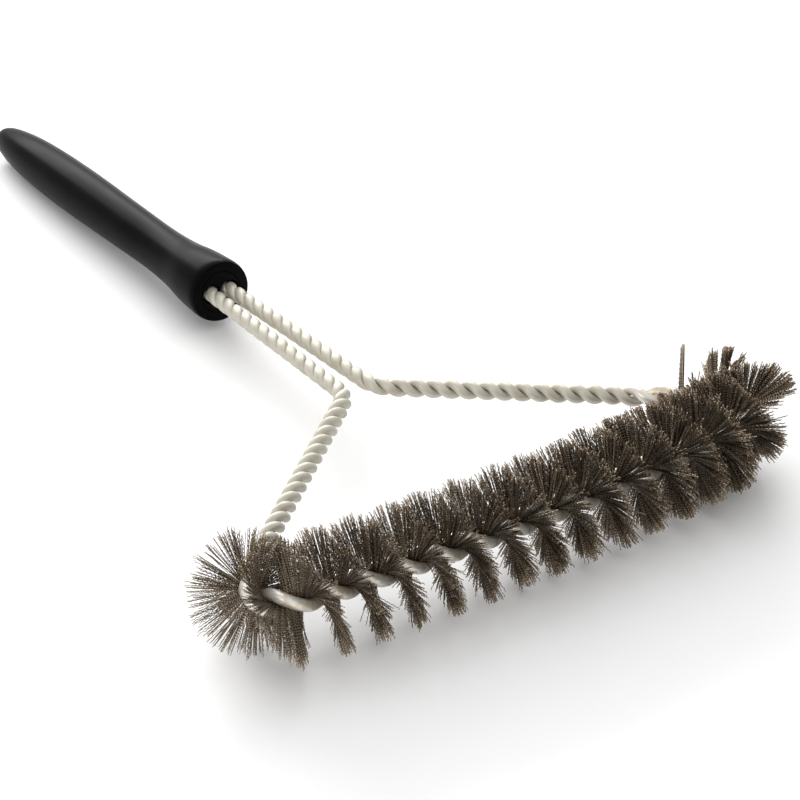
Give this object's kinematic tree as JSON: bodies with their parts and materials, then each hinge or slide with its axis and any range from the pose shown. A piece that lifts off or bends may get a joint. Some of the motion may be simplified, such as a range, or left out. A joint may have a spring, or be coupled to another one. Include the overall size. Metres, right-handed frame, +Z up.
{
  "type": "grill cleaning brush",
  "caption": "Three-sided wire grill brush: twisted steel core bent into a triangle, crimped steel bristles along its front bar and round both corners, straight black handle.",
  "frame": {"origin": "centre of the box round the brush, on the surface that it lies on", "axes": "+X along the bristled bar, +Y from the bar towards the tip of the handle, +Z up off the surface"},
  "size_m": [0.2534, 0.456, 0.0473],
  "materials": {
    "wire_steel": "bare drawn steel wire, satin, slightly creamy where it is exposed",
    "bristle_steel": "crimped spring steel wire, dark brown-grey with bright glints",
    "core_black": "moulded black, matt",
    "grip_black": "soft satin black"
  },
  "bodies": {
    "root": {"core_wire_upper": "wire_steel", "core_wire_lower": "wire_steel", "bristle_tuft_01": "bristle_steel", "bristle_tuft_02": "bristle_steel", "bristle_tuft_03": "bristle_steel", "bristle_tuft_04": "bristle_steel", "bristle_tuft_05": "bristle_steel", "bristle_tuft_06": "bristle_steel", "bristle_tuft_07": "bristle_steel", "bristle_tuft_08": "bristle_steel", "bristle_tuft_09": "bristle_steel", "bristle_tuft_10": "bristle_steel", "bristle_tuft_11": "bristle_steel", "bristle_tuft_12": "bristle_steel", "bristle_tuft_13": "bristle_steel", "bristle_tuft_14": "bristle_steel", "bristle_tuft_15": "bristle_steel", "bristle_tuft_16": "bristle_steel", "bristle_tuft_17": "bristle_steel", "bristle_tuft_18": "bristle_steel", "bristle_tuft_19": "bristle_steel", "handle_core": "core_black", "handle_grip": "grip_black"}
  },
  "joints": []
}
